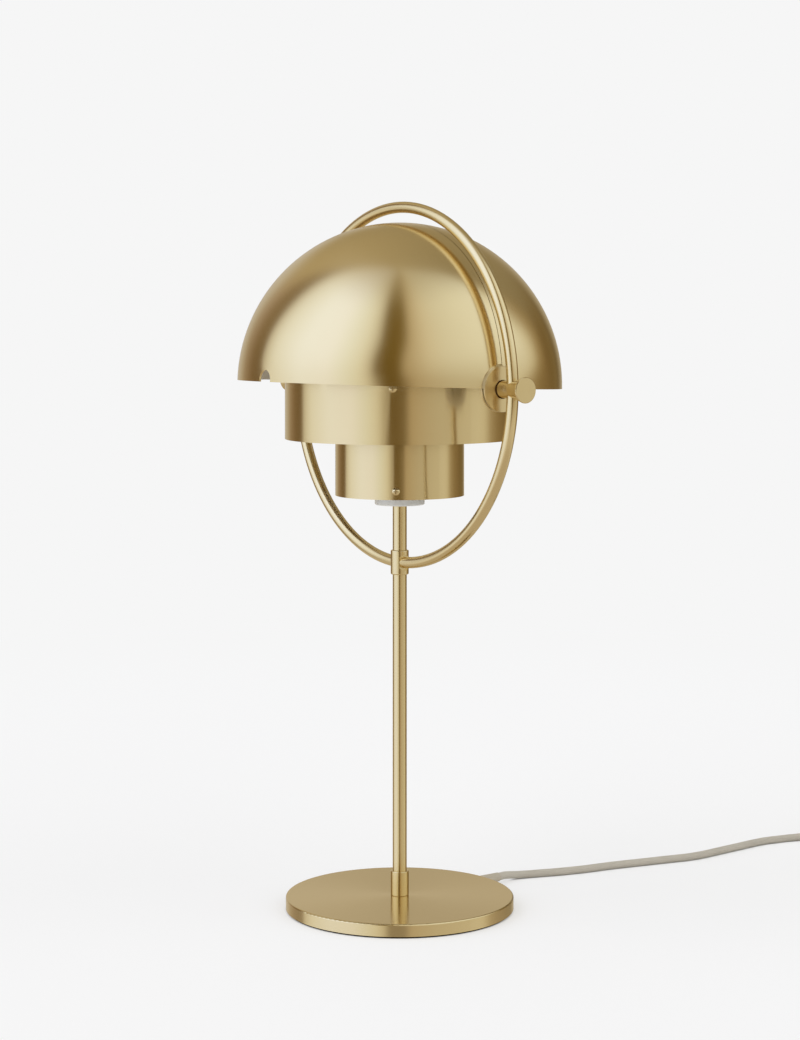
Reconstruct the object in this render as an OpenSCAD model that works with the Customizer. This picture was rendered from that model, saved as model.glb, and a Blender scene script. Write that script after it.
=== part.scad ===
// Table lamp with a two-part dome shade in brushed brass.
// A round weighted base carries a thin pole.  A cross connector on the pole holds a large upright
// ring, and the pole goes on into a lampholder.  Two open cylinders stand round the bulb, and two
// quarter-sphere shades turn on pivots in the ring, from a dome over the bulb down to a bowl
// under it.
//
// Millimetres.  The origin is the middle of the underside, +Z is up, and the shades' pivots lie
// along X.  The cord leaves at the back, towards +Y.

/* [Overall] */
// Height from the table to the top of the ring
lamp_h = 500; // [480:1:520]

/* [Base] */
// Diameter of the base
base_d = 161; // [140:1:190]
// Height of the pressed cover, without the pad
cover_h = 8.5; // [8:0.1:12]
// Wall of the pressed cover
cover_t = 1.2; // [0.8:0.1:1.5]
// Radius of the rounded top edge of the cover
cover_edge = 1; // [0.5:0.1:1.5]
// Thickness of the soft pad under the base
pad_t = 1.2; // [1:0.1:2.5]
// How far the pad stands back from the edge of the base
pad_inset = 1.6; // [0.8:0.1:4]
// Width of the cord slot in the weight
slot_w = 9; // [8.8:0.1:12]
// Diameter of the recess for the nut in the weight
recess_d = 30; // [26:0.5:40]
// Thickness of the weight over the recess
web_t = 1.9; // [1.5:0.1:2.2]
// Width across the flats of the thin nut
nut_af = 14; // [12:0.5:17]
// Thickness of the thin nut
nut_t = 1.9; // [1.5:0.1:2]
// Diameter of the washer over the nut
nut_washer_d = 22; // [18:0.5:25]
// Thickness of the washer over the nut
nut_washer_t = 0.5; // [0.3:0.1:0.6]

/* [Pole] */
// Outer diameter of the pole
pole_d = 10; // [9:0.1:12]
// Wall of the pole
pole_t = 1; // [0.8:0.1:1.2]
// Diameter of the collar at the foot of the pole
collar_d = 12.8; // [12.4:0.1:16]
// Height of the collar
collar_h = 17.2; // [12:0.1:30]
// How deep the pole stands in the collar
collar_seat = 15; // [8:0.5:16]
// Diameter of the threaded stub under the collar
stub_d = 10; // [9.4:0.1:11]
// Bore for the wires through the collar
wire_bore = 7; // [6:0.1:7.2]
// Diameter of the grub screw in the collar
grub_d = 3; // [2.5:0.5:3.5]

/* [Ring] */
// Gap between the shades and the ring's rod
ring_gap = 6.8; // [5:0.1:12]
// Diameter of the ring's rod
ring_rod_d = 8; // [7:0.1:8.6]
// Diameter of the cross connector
connector_d = 12.8; // [12.4:0.1:16]
// Height of the cross connector
connector_h = 17.3; // [14:0.1:19]
// Diameter of the round spot faces where the ring enters the connector
spot_d = 10.9; // [10:0.1:12]
// Distance between the two spot faces
spot_apart = 10; // [9:0.1:11.4]
// Length of the spigots that the two pole tubes sit on
spigot_l = 8; // [5:0.5:12]
// Bore for the wires through the connector
connector_bore = 5.2; // [5.2:0.1:5.6]
// Distance between the two ends of the ring inside the connector
ring_end_gap = 6.4; // [6.4:0.1:7]

/* [Cylinders] */
// Outer diameter of the inner cylinder
inner_d = 91.2; // [86:0.2:96]
// Height of the inner cylinder
inner_h = 156; // [150:1:158]
// Outer diameter of the outer band
band_d = 162.4; // [156:0.2:164]
// Height of the outer band
band_h = 76; // [60:1:78]
// Wall of both cylinders
tube_t = 1; // [0.8:0.1:1.5]
// Direction of the first of the three screws, from the front towards the right
screw_az = 50; // [30:1:70]
// Height of the lower screws above the edge of the inner cylinder
lower_screw_up = 5.9; // [5:0.1:8]
// Diameter of the radial spacers between the cylinders
spacer_d = 6; // [5:0.1:8]
// Width of the arms of the bracket under the lampholder
arm_w = 10; // [8:0.5:14]
// Thickness of the bracket's plate
arm_t = 1.5; // [1:0.1:2]
// Length of the bracket's bent tabs
tab_l = 10; // [9:0.5:14]
// Diameter of the screws' shanks
screw_d = 3; // [2.5:0.1:3]
// Diameter of the screws' heads
screw_head_d = 5.4; // [5:0.1:6]
// Height of the screws' heads
screw_head_h = 1.9; // [1.5:0.1:2.2]

/* [Shades] */
// Outer radius of the two quarter-sphere shades
shade_r = 114.7; // [113:0.1:116]
// Sheet thickness of the shades
shade_t = 1.5; // [1:0.1:1.8]
// Gap between the edges of the two shades
shade_gap = 0.5; // [0.4:0.1:1.5]
// How far the closed pair leans back from upright, in degrees
shade_lean = 2; // [0:0.5:4]
// Width of the notch for the pole in each lower edge
notch_w = 13.2; // [12.6:0.1:18]
// Height of the straight part of the notch
notch_rise = 1.5; // [0.5:0.1:4]
// Diameter of the flat ears at the pivots
ear_d = 30.6; // [28:0.2:34]
// How far the outer ear stands out past the sphere
ear_out = 0.4; // [0.3:0.1:0.6]
// Width of the pressed step round the outer ear
ear_step = 1.8; // [1.4:0.1:2.4]

/* [Pivots] */
// Diameter of the pivot post at the ear
post_d = 11.8; // [11:0.1:12.4]
// Diameter of the pivot post at the ring
waist_d = 11; // [10:0.1:11.4]
// Distance from the middle of the ring's rod to the seam between post and knob
post_past_ring = 5; // [4.8:0.1:6]
// Length of the knob
knob_l = 8.9; // [6:0.1:14]
// Diameter of the knob's face
knob_d = 17.4; // [15:0.1:20]
// Diameter of the pivot bolt
bolt_d = 5; // [4:0.5:5]
// Diameter of the bolt's head
bolt_head_d = 9.5; // [8.5:0.1:12]
// Height of the bolt's head
bolt_head_h = 3; // [2:0.1:4]
// Outer diameter of the bush that the ears turn on
bush_d = 8; // [7:0.1:9]
// Diameter of the bush's flange
bush_flange_d = 12.6; // [12:0.1:15]
// Thickness of the bush's flange
bush_flange_t = 0.5; // [0.4:0.1:1]
// Diameter of the friction washer between the ears
friction_d = 26; // [20:0.5:28]
// Thickness of the friction washer
friction_t = 1.2; // [0.3:0.1:1.5]
// Diameter of the flat washer on the inside
flat_washer_d = 16; // [12:0.5:20]
// Thickness of the flat washer on the inside
flat_washer_t = 1; // [0.6:0.1:1.5]
// Diameter of the spring washer
spring_washer_d = 11; // [10:0.5:12]
// Thickness of the spring washer
spring_washer_t = 1.2; // [0.8:0.1:1.6]

/* [Lampholder] */
// Diameter of the lampholder's cap
cap_d = 35.3; // [34:0.1:38]
// How far the cap stands out under the inner cylinder
cap_below = 6.8; // [4:0.1:10]
// Floor of the lampholder's cap
cap_floor = 2.5; // [2:0.1:4]
// How deep the pole stands in the cap
cap_seat = 10; // [8:0.5:11]
// Diameter of the lampholder's body
holder_d = 39; // [38:0.5:44]
// Height of the lampholder's body over the bracket
holder_h = 39.5; // [38:0.5:46]
// Inner diameter of the screw shell
shell_bore = 27.2; // [27:0.1:27.6]
// Wall of the screw shell
shell_t = 0.5; // [0.4:0.1:0.7]

/* [Bulb] */
// Diameter of the bulb
bulb_d = 60; // [50:1:70]
// Length of the bulb from its contact to its top
bulb_l = 105; // [95:1:110]
// Diameter of the bulb's screw cap
bulb_cap_d = 26.2; // [25.8:0.1:26.4]
// Wall of the glass
glass_t = 1; // [0.6:0.1:1.5]

/* [Cord] */
// Diameter of the cord
cord_d = 5.5; // [5:0.1:6]
// Height of the cord's exit over the table
exit_z = 4.9; // [4.6:0.1:5.4]
// Largest diameter of the tapered strain relief
relief_d = 7.8; // [7.6:0.1:9]
// Smallest diameter of the tapered strain relief
relief_tip_d = 6.4; // [6.3:0.1:7.4]
// Diameter of the strain relief's neck in the cover
neck_d = 6.8; // [6.4:0.1:7]
// Diameter of each insulated wire
wire_d = 1.8; // [1.4:0.1:2]
// Distance between the two wires
wire_pitch = 2.8; // [2.2:0.1:3]
// Pitch of the turns in the coil
coil_pitch = 6; // [6:0.1:8]
// Height from one layer of the coil to the next
coil_layer = 6; // [6:0.1:8]
// Number of turns in the coil
coil_turns = 6.25; // [4.25:1:6.25]
// Thickness of the strap round the coil
tie_t = 0.9; // [0.7:0.1:1.4]
// Width of the strap round the coil
tie_w = 9; // [6:0.5:14]

/* [Switch] */
// Length of the switch without its nozzles
switch_l = 56; // [50:1:60]
// Width of the switch
switch_w = 25; // [22:0.5:30]
// Height of the switch
switch_h = 16; // [15:0.5:20]
// Wall of the switch
switch_t = 1.8; // [1.4:0.1:2.2]
// Height of the parting line
switch_split = 7.5; // [6.5:0.1:8.5]
// Diameter of the nozzles at its ends
nozzle_d = 8.6; // [8:0.1:10]
// Radius of the rocker's ends
rocker_r = 8.6; // [7:0.1:9]
// Width of the rocker
rocker_w = 11; // [8:0.1:12]
// Angle that the rocker tilts to each side, in degrees
rocker_tilt = 7; // [4:0.5:8]

/* [Plug] */
// Width of the plug
plug_w = 35.3; // [34:0.1:36]
// Thickness of the plug
plug_h = 13.7; // [12.5:0.1:14]
// Length of the plug's body
plug_l = 36; // [32:0.5:40]
// Length of the plug's own strain relief
plug_relief_l = 14; // [10:0.5:20]
// Diameter of the pins
pin_d = 4; // [4:0.1:4.8]
// Length of the pins
pin_l = 19; // [18:0.5:20]
// Distance between the pins
pin_pitch = 18.6; // [17.5:0.1:19]

/* [Hidden] */
$fn = 96;

BRASS = [0.80, 0.70, 0.46];
STEEL = [0.62, 0.62, 0.63];
IRON = [0.30, 0.30, 0.31];
BLACK = [0.08, 0.08, 0.08];
WHITE = [0.93, 0.93, 0.91];
GLASS = [0.97, 0.96, 0.92];
TEXTILE = [0.58, 0.53, 0.47];
COPPER = [0.72, 0.45, 0.25];

eps = 0.01;          // overlap that makes a cut run past a face
slip = 0.05;         // radial clearance of a part that slides or turns on another
play = 0.05;         // axial clearance on each side of a turning ear
air = 0.3;           // clearance between parts that don't touch

// Radii
ring_r = shade_r + ring_gap + ring_rod_d / 2;
base_r = base_d / 2;
cover_ri = base_r - cover_t;
pole_r = pole_d / 2;
inner_ri = inner_d / 2 - tube_t;
band_ri = band_d / 2 - tube_t;
shade_ri = shade_r - shade_t;
ear_r = ear_d / 2;
spigot_r = cap_d / 2 - 4;         // threaded part of the lampholder inside its cap

// Heights
base_top = pad_t + cover_h;
skin_z = base_top - cover_t;
ceiling_z = skin_z - web_t;
washer_z = ceiling_z - nut_washer_t;
nut_z = washer_z - nut_t;
stub_z = nut_z - 0.1;
collar_top = base_top + collar_h;
pivot_z = lamp_h - ring_r - ring_rod_d / 2;
connector_z = pivot_z - ring_r;
pole_bore = pole_d - 2 * pole_t;
inner_z = pivot_z - inner_h / 2;
band_z = pivot_z - band_h / 2;
cap_z = inner_z - cap_below;
lower_screw_z = inner_z + lower_screw_up;
bracket_z = lower_screw_z + tab_l / 2 - arm_t;
holder_z = bracket_z + arm_t;
holder_top = holder_z + holder_h;

// The pivot's layers along X, from the outer ear's face inwards and outwards
outer_ear_x = shade_r + ear_out;
outer_ear_in = outer_ear_x - shade_t;
friction_x = outer_ear_in - play - friction_t;
inner_ear_x = friction_x - play;
inner_ear_in = inner_ear_x - shade_t;
flat_washer_x = inner_ear_in - play - flat_washer_t;
spring_washer_x = flat_washer_x - spring_washer_t;
bolt_head_x = spring_washer_x - bolt_head_h;
flange_x = outer_ear_x + play;
post_x = flange_x + bush_flange_t;
knob_x = ring_r + post_past_ring;
knob_face_x = knob_x + knob_l;
knob_foot = waist_d / 2 + 0.9;    // radius where post and knob meet
bolt_tip_x = ring_r - ring_rod_d / 2 - 0.6;

// The bulb, from its contact up
holder_floor_z = holder_z + 4.5;
holder_floor_t = 4;
contact_z = holder_floor_z + holder_floor_t;
contact_h = 2.5;
bulb_z = contact_z + contact_h;
bulb_cap_z = bulb_z + 3;
bulb_cap_h = 22;
bulb_ball_z = bulb_z + bulb_l - bulb_d / 2;
neck_r = bulb_cap_d / 2 - 0.6;

// Three screws round each cylinder
screw_count = 3;

// The cord's routes, point by point.  Heights are those of the cord's middle.
lie = cord_d / 2;
run_points = [
    [-13, 100, exit_z], [-13.9, 106.95, exit_z], [-15, 114, 4], [-15, 121, 3.1], [-13, 129, lie],
    [-10, 138, lie], [-6, 149, lie], [-3, 160, lie], [0, 172, lie], [2, 184, lie], [4, 197, lie],
    [7, 210, lie], [10, 223, lie], [13, 236, lie], [16, 249, lie], [19, 262, lie], [20, 276, lie],
    [19, 291, lie], [18, 306, lie], [17, 321, lie], [16, 335, lie], [16, 348, lie],
    [18, 360, lie], [20, 370, lie], [24, 381, 3.1], [28, 390, 4.6], [31, 398, 6.6],
    [32, 406, switch_split], [32, 412, switch_split]
];
link_points = [
    [32, 472, switch_split], [32, 478, switch_split], [34, 486, 6.2], [39, 493, 4.8],
    [46, 497, 3.9], [55, 498, 3.7], [65, 495, 3.7], [75, 490, 3.7], [82, 487, 3.7],
    [89, 485, coil_z()], [95, 485, coil_z()]
];
tail_points = [
    [135, 445, coil_z() + coil_layer], [135, 439, coil_z() + coil_layer], [134, 430, 8.9],
    [131, 420, 8.1], [127, 410, 7.3], [123, 401, plug_h / 2], [121, 393, plug_h / 2],
    [121, 387, plug_h / 2]
];
coil_centre = [95, 445];
coil_r = 40;                     // middle of the cord in the outermost turn
coil_steps = 24;                 // rings in each turn
coil_sides = 6;
cord_sides = 8;
coil_ease = 25;                  // degrees over which the spiral turns from inwards to outwards
switch_centre = [32, 442];
plug_end = tail_points[len(tail_points) - 1];
exit_point = run_points[0];
exit_turn = atan2(-exit_point[0], exit_point[1]);
relief_end = norm([exit_point[0], exit_point[1]]);

function coil_z() = lie + tie_t;

// ---------------------------------------------------------------- helpers

// Lay what is built along +Z along +X instead.
module along_x() {
    rotate([0, 90, 0]) children();
}

// The same thing on both sides of the lamp.
module both_sides() {
    children();
    mirror([1, 0, 0]) children();
}

// A disc or tube about the X axis, between two places on it.
module disc_x(x0, x1, r) {
    translate([x0, 0, 0]) along_x() cylinder(r = r, h = x1 - x0);
}

module ring_x(x0, x1, r, bore) {
    difference() {
        disc_x(x0, x1, r);
        disc_x(x0 - 1, x1 + 1, bore);
    }
}

// A tube about Z, between two heights.
module tube_z(z0, z1, r, bore) {
    translate([0, 0, z0]) difference() {
        cylinder(r = r, h = z1 - z0);
        translate([0, 0, -1]) cylinder(r = bore, h = z1 - z0 + 2);
    }
}

// A rod along Z with both its edges rounded.
module rounded_rod(r, h, edge) {
    rotate_extrude() union() {
        translate([0, edge]) square([r, h - 2 * edge]);
        square([r - edge, h]);
        for (z = [edge, h - edge])
            translate([r - edge, z]) circle(r = edge, $fn = 32);
    }
}

// Place children at each of the three screws: +X points outwards.
module at_screws(z) {
    for (i = [0 : screw_count - 1])
        rotate([0, 0, screw_az - 90 + i * 360 / screw_count]) translate([0, 0, z]) children();
}

// A cross-recess screw along X, with its head's seat at x = 0 and its shank towards -X.
module cross_screw(length) {
    dome_r = screw_head_d * 0.62;
    difference() {
        along_x() rotate_extrude() union() {
            translate([0, -length]) square([screw_d / 2, length + 0.5]);
            intersection() {
                square([screw_head_d / 2, screw_head_h + 1]);
                translate([0, screw_head_h - dome_r]) circle(r = dome_r);
            }
        }
        translate([screw_head_h - 1, 0, 0]) along_x() linear_extrude(2) union() {
            square([screw_head_d * 0.6, 0.7], center = true);
            square([0.7, screw_head_d * 0.6], center = true);
        }
    }
}

function total(v) = v * [for (x = v) 1];

// A tube swept along points.  Its rings stand square to the route, and the end rings
// to the directions given for them, so that two tubes can meet face to face.
function unit(v) = v / norm(v);
function heading(p, i) =
    i == 0 ? unit(p[1] - p[0])
    : i == len(p) - 1 ? unit(p[i] - p[i - 1])
    : unit(unit(p[i + 1] - p[i]) + unit(p[i] - p[i - 1]));
function sideways(t) = unit(cross(t, [0, 0, 1]));
function ring_at(centre, t, r, sides) =
    let (s = sideways(t), u = cross(s, t))
    [for (k = [0 : sides - 1])
        let (a = 360 * (k + 0.5) / sides) centre + r * (cos(a) * s + sin(a) * u)];

module swept_tube(p, d, sides, starts = undef, ends = undef) {
    n = len(p);
    points = [for (i = [0 : n - 1])
        let (t = i == 0 && !is_undef(starts) ? starts
            : i == n - 1 && !is_undef(ends) ? ends : heading(p, i))
        each ring_at(p[i], t, d / 2, sides)];
    walls = [for (i = [0 : n - 2], k = [0 : sides - 1])
        let (a = i * sides + k, b = i * sides + (k + 1) % sides)
        each [[a, b, b + sides], [a, b + sides, a + sides]]];
    first = [for (k = [1 : sides - 2]) [0, k + 1, k]];
    last = [for (k = [1 : sides - 2]) [for (v = [0, k, k + 1]) (n - 1) * sides + v]];
    polyhedron(points, concat(walls, first, last), convexity = 10);
}

// ---------------------------------------------------------------- base

module base_cover() {
    color(BRASS) difference() {
        translate([0, 0, pad_t]) rotate_extrude() difference() {
            union() {
                square([base_r, cover_h - cover_edge]);
                square([base_r - cover_edge, cover_h]);
                translate([base_r - cover_edge, cover_h - cover_edge]) circle(r = cover_edge);
            }
            translate([-1, -1]) square([cover_ri + 1, cover_h - cover_t + 1]);
        }
        translate([0, 0, skin_z - 1]) cylinder(d = stub_d + 2 * slip, h = cover_t + 2);
        at_exit() translate([0, cover_ri - 5, 0]) rotate([-90, 0, 0])
            cylinder(d = neck_d + 2 * slip, h = cover_t + 10);
    }
}

// Turn and lift to the cord's exit: +Y points out along the cord.
module at_exit() {
    rotate([0, 0, exit_turn]) translate([0, 0, exit_z]) children();
}

module base_weight() {
    color(IRON) difference() {
        translate([0, 0, pad_t]) cylinder(r = cover_ri - 0.2, h = skin_z - pad_t);
        translate([0, 0, pad_t - 1]) cylinder(d = recess_d, h = ceiling_z - pad_t + 1);
        cylinder(d = stub_d + 2 * slip, h = base_top);
        rotate([0, 0, exit_turn]) translate([-slot_w / 2, recess_d / 4, pad_t - 1])
            cube([slot_w, base_r, ceiling_z - pad_t + 1]);
        rotate([0, 0, exit_turn]) translate([-slot_w / 2, recess_d / 2 - 1, pad_t - 1])
            cube([slot_w, base_r, cover_h + 2]);
    }
}

module base_pad() {
    color(BLACK) cylinder(r = base_r - pad_inset, h = pad_t);
}

module base_nut() {
    color(STEEL) difference() {
        translate([0, 0, nut_z]) cylinder(d = nut_af / cos(30), h = nut_t, $fn = 6);
        translate([0, 0, nut_z - 1]) cylinder(d = stub_d, h = nut_t + 2);
    }
}

module base_washer() {
    color(STEEL) tube_z(washer_z, ceiling_z, nut_washer_d / 2, stub_d / 2 + slip);
}

// ---------------------------------------------------------------- pole and ring

module pole_collar() {
    seat_z = collar_top - collar_seat;
    color(BRASS) difference() {
        union() {
            translate([0, 0, stub_z]) cylinder(d = stub_d, h = base_top - stub_z + eps);
            translate([0, 0, base_top]) rounded_rod(collar_d / 2, collar_h, 0.5);
        }
        translate([0, 0, stub_z - 1]) cylinder(d = wire_bore, h = lamp_h / 2);
        translate([0, 0, seat_z]) cylinder(d = pole_d + 2 * slip, h = collar_seat + 1);
        translate([0, 0, collar_top - 5]) rotate([-90, 0, 0]) cylinder(d = grub_d, h = collar_d);
    }
}

module collar_grub_screw() {
    length = collar_d / 2 - pole_r - slip - 0.2;
    color(STEEL) translate([0, pole_r + slip, collar_top - 5]) rotate([-90, 0, 0]) difference() {
        cylinder(d = grub_d - 2 * slip, h = length);
        translate([0, 0, length - 0.7]) cylinder(d = grub_d / 2, h = 1, $fn = 6);
    }
}

module pole_lower() {
    color(BRASS) tube_z(collar_top - collar_seat, connector_z - connector_h / 2, pole_r,
                        pole_bore / 2);
}

module pole_upper() {
    color(BRASS) tube_z(connector_z + connector_h / 2, cap_z + cap_floor + cap_seat, pole_r,
                        pole_bore / 2);
}

// The ring's rod.  Its two ends face each other inside the connector.
module ring_rod(d, end_gap) {
    half = asin(end_gap / 2 / ring_r);
    translate([0, 0, pivot_z]) rotate([90, 0, 0]) rotate([0, 0, -90 + half])
        rotate_extrude(angle = 360 - 2 * half, $fn = 240) translate([ring_r, 0]) circle(d = d, $fn = 48);
}

module ring() {
    color(BRASS) ring_rod(ring_rod_d, ring_end_gap);
}

module ring_connector() {
    color(BRASS) difference() {
        translate([0, 0, connector_z]) difference() {
            union() {
                translate([0, 0, -connector_h / 2]) rounded_rod(connector_d / 2, connector_h, 0.8);
                cylinder(d = pole_bore - 2 * slip, h = connector_h + 2 * spigot_l, center = true);
            }
            both_sides() disc_x(spot_apart / 2, connector_d, spot_d / 2);
        }
        ring_rod(ring_rod_d + 2 * slip, ring_end_gap - 0.2);
        cylinder(d = connector_bore, h = lamp_h);
    }
}

// ---------------------------------------------------------------- lampholder and bulb

module holder_cap() {
    cap_top = bracket_z;
    color(WHITE) rotate_extrude() difference() {
        union() {
            translate([0, cap_z + 1]) square([cap_d / 2, cap_top - cap_z - 1]);
            translate([0, cap_z]) square([cap_d / 2 - 1, 3]);
            translate([cap_d / 2 - 1, cap_z + 1]) circle(r = 1);
        }
        translate([-1, cap_z - 1]) square([pole_r + slip + 1, cap_top]);
        translate([pole_r + 3, cap_z + cap_floor]) square([spigot_r + slip - pole_r - 3, cap_top]);
        translate([-1, cap_z + cap_floor + cap_seat]) square([spigot_r + slip + 1, cap_top]);
    }
}

// Three arms with bent tabs, clamped between the lampholder's cap and its body.
module cylinder_bracket() {
    tab_x = inner_ri - slip;
    color(BRASS) difference() {
        union() {
            translate([0, 0, bracket_z]) cylinder(d = cap_d, h = arm_t);
            at_screws(0) {
                translate([cap_d / 4, -arm_w / 2, bracket_z]) cube([tab_x - 1 - cap_d / 4, arm_w, arm_t]);
                intersection() {
                    translate([tab_x - 4, -arm_w / 2, bracket_z + arm_t - tab_l])
                        cube([5, arm_w, tab_l]);
                    tube_z(0, lamp_h, tab_x, tab_x - arm_t);
                }
            }
        }
        translate([0, 0, bracket_z - 1]) cylinder(r = spigot_r + slip, h = arm_t + 2);
        at_screws(lower_screw_z) disc_x(0, inner_d, screw_d / 2);
    }
}

module lampholder_body() {
    r = holder_d / 2;
    shell_r = shell_bore / 2 + shell_t + slip;
    color(WHITE) difference() {
        rotate_extrude() difference() {
            union() {
                translate([0, bracket_z - 8]) square([spigot_r, 10]);
                translate([0, holder_z]) square([r, holder_h - 1.5]);
                translate([0, holder_z]) square([r - 1.5, holder_h]);
                translate([r - 1.5, holder_top - 1.5]) circle(r = 1.5);
            }
            translate([-1, bracket_z - 9]) square([spigot_r - 1, holder_floor_z - bracket_z + 9]);
            translate([-1, contact_z]) square([shell_r + 1, lamp_h]);
        }
        // grooves that grip the fingers when the ring is screwed on
        for (i = [0 : 23])
            rotate([0, 0, i * 15]) translate([r + 0.4, 0, holder_z + 3]) cylinder(r = 1, h = 14, $fn = 16);
    }
}

module terminal_block() {
    r = spigot_r - 2.4;
    h = 7;
    color(WHITE) rotate([0, 0, exit_turn]) difference() {
        translate([0, 0, holder_floor_z - h]) intersection() {
            cylinder(r = r, h = h);
            translate([-r, -5, 0]) cube([2 * r, 10, h]);
        }
        for (s = [-1, 1])
            translate([s * wire_pitch / 2, 0, holder_floor_z - h - 1])
                cylinder(d = wire_d + 2 * slip, h = 5, $fn = 24);
        for (s = [-1, 1])
            translate([s * (r - 2.6), -6, holder_floor_z - h / 2]) rotate([-90, 0, 0])
                cylinder(d = 2.6, h = 3, $fn = 24);
    }
}

module screw_shell() {
    r = shell_bore / 2 + shell_t;
    color(BRASS) tube_z(contact_z, holder_top - 3, r, r - shell_t);
}

module centre_contact() {
    color(COPPER) translate([0, 0, contact_z]) {
        cylinder(d = 9, h = 0.6);
        translate([0, 0, 0.5]) cylinder(d = 5, h = contact_h - 0.5);
    }
}

module bulb_cap() {
    r = bulb_cap_d / 2;
    groove = 0.55;
    color(STEEL) rotate_extrude() difference() {
        union() {
            translate([0, bulb_cap_z]) square([r, bulb_cap_h]);
            polygon([
                [0, bulb_z], [4.6, bulb_z], [4.6, bulb_z + 1], [r - 3, bulb_cap_z],
                [r - 3, bulb_cap_z + 1], [0, bulb_cap_z + 1]
            ]);
        }
        for (i = [0 : 4])
            translate([r + 0.35, bulb_cap_z + 3.2 + i * 3.6]) circle(r = groove + 0.35, $fn = 24);
        translate([-1, bulb_cap_z + 6]) square([neck_r + 0.55, bulb_cap_h]);
    }
}

// The glass: a neck in the cap, a flare, and a ball.
module glass_profile(inset) {
    r = bulb_d / 2 - inset;
    flare = 34;                   // angle under the ball's middle where the flare meets it
    flare_x = r * cos(flare);
    flare_z = bulb_ball_z - r * sin(flare);
    neck_z = bulb_cap_z + bulb_cap_h;
    union() {
        intersection() {
            translate([0, bulb_ball_z]) circle(r = r);
            translate([0, flare_z]) square([bulb_d, bulb_l]);
        }
        polygon([
            [0, neck_z - 4 + inset], [neck_r - 0.8 - inset, neck_z - 4 + inset],
            [neck_r - 0.8 - inset, neck_z + 4],
            [neck_r + 1.2 - inset, neck_z + 10], [flare_x, flare_z + 0.01], [0, flare_z + 0.01]
        ]);
    }
}

module bulb_glass() {
    color(GLASS) rotate_extrude() difference() {
        glass_profile(0);
        glass_profile(glass_t);
    }
}

// Two insulated wires, from the end of the cord in the base up to the terminals.
module lead_wires() {
    bend = 2.2;
    wire_z = stub_z - air - wire_d / 2;
    start = recess_d / 2 + 1;
    top = holder_floor_z - 5;
    color(COPPER) rotate([0, 0, exit_turn])
        for (s = [-1, 1])
            translate([s * wire_pitch / 2, 0, 0]) {
                translate([0, bend, wire_z]) rotate([-90, 0, 0])
                    cylinder(d = wire_d, h = start - bend, $fn = 24);
                translate([0, bend, wire_z + bend]) rotate([0, -90, 0]) rotate([0, 0, 180])
                    rotate_extrude(angle = 90) translate([bend, 0]) circle(d = wire_d, $fn = 24);
                translate([0, 0, wire_z + bend]) cylinder(d = wire_d, h = top - wire_z - bend, $fn = 24);
            }
}

// ---------------------------------------------------------------- cylinders

module inner_cylinder() {
    color(BRASS) difference() {
        tube_z(inner_z, inner_z + inner_h, inner_d / 2, inner_ri);
        at_screws(lower_screw_z) disc_x(0, inner_d, screw_d / 2 + slip);
        at_screws(pivot_z) disc_x(0, inner_d, screw_d / 2 + slip);
    }
}

module outer_band() {
    color(BRASS) difference() {
        tube_z(band_z, band_z + band_h, band_d / 2, band_ri);
        at_screws(pivot_z) disc_x(0, band_d, screw_d / 2 + slip);
    }
}

// Radial rods between the two cylinders, tapped at both ends.
module band_spacers() {
    color(BRASS) at_screws(pivot_z) difference() {
        intersection() {
            disc_x(inner_d / 4, band_d / 2, spacer_d / 2);
            translate([0, 0, -spacer_d]) tube_z(0, 2 * spacer_d, band_ri, inner_d / 2);
        }
        disc_x(0, inner_d / 2 + 8, screw_d / 2);
        disc_x(band_ri - 8, band_d, screw_d / 2);
    }
}

module bracket_screws() {
    color(BRASS) at_screws(lower_screw_z) translate([inner_d / 2, 0, 0]) cross_screw(4.5);
}

module band_screws() {
    color(BRASS) at_screws(pivot_z) translate([band_d / 2, 0, 0]) cross_screw(7);
}

module spacer_screws() {
    seat = sqrt(inner_ri * inner_ri - screw_head_d * screw_head_d / 4) - eps;
    color(BRASS) at_screws(pivot_z) translate([seat, 0, 0]) mirror([1, 0, 0]) cross_screw(7);
}

// ---------------------------------------------------------------- shades

// The space of the front shade: in front of the pivots and over them.
module front_quarter() {
    translate([-shade_r * 2, -shade_r * 2, shade_gap / 2])
        cube([shade_r * 4, shade_r * 2 - shade_gap / 2, shade_r * 2]);
}

// Half-round notch that lets the pole through when the shade is turned down.
module notch() {
    translate([0, 0, notch_rise + shade_gap / 2]) rotate([90, 0, 0])
        cylinder(d = notch_w, h = shade_r * 2);
    translate([-notch_w / 2, -shade_r * 2, -1]) cube([notch_w, shade_r * 2, notch_rise + 1 + shade_gap / 2]);
}

module shell_sphere() {
    difference() {
        sphere(r = shade_r, $fn = 240);
        sphere(r = shade_ri, $fn = 240);
    }
}

// The front shade carries the outer ear, raised on a pressed step.
module front_shade() {
    step_r = ear_r + ear_step;
    step_foot = sqrt(shade_r * shade_r - step_r * step_r) - 0.1;
    cut_r = ear_r + air;
    color(BRASS) translate([0, 0, pivot_z]) rotate([-shade_lean, 0, 0]) difference() {
        union() {
            intersection() {
                union() {
                    difference() {
                        shell_sphere();
                        disc_x(-shade_r * 2, shade_r * 2, cut_r);
                    }
                    both_sides() along_x() rotate_extrude() polygon([
                        [cut_r, step_foot - 0.4], [step_r, step_foot - 0.4], [step_r, step_foot],
                        [ear_r + 0.1, outer_ear_x], [ear_r - 0.4, outer_ear_x],
                        [ear_r - 0.4, outer_ear_in], [cut_r, outer_ear_in]
                    ]);
                }
                front_quarter();
            }
            both_sides() disc_x(outer_ear_in, outer_ear_x, ear_r);
        }
        notch();
        disc_x(-shade_r * 2, shade_r * 2, bush_d / 2 + slip);
    }
}

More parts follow.
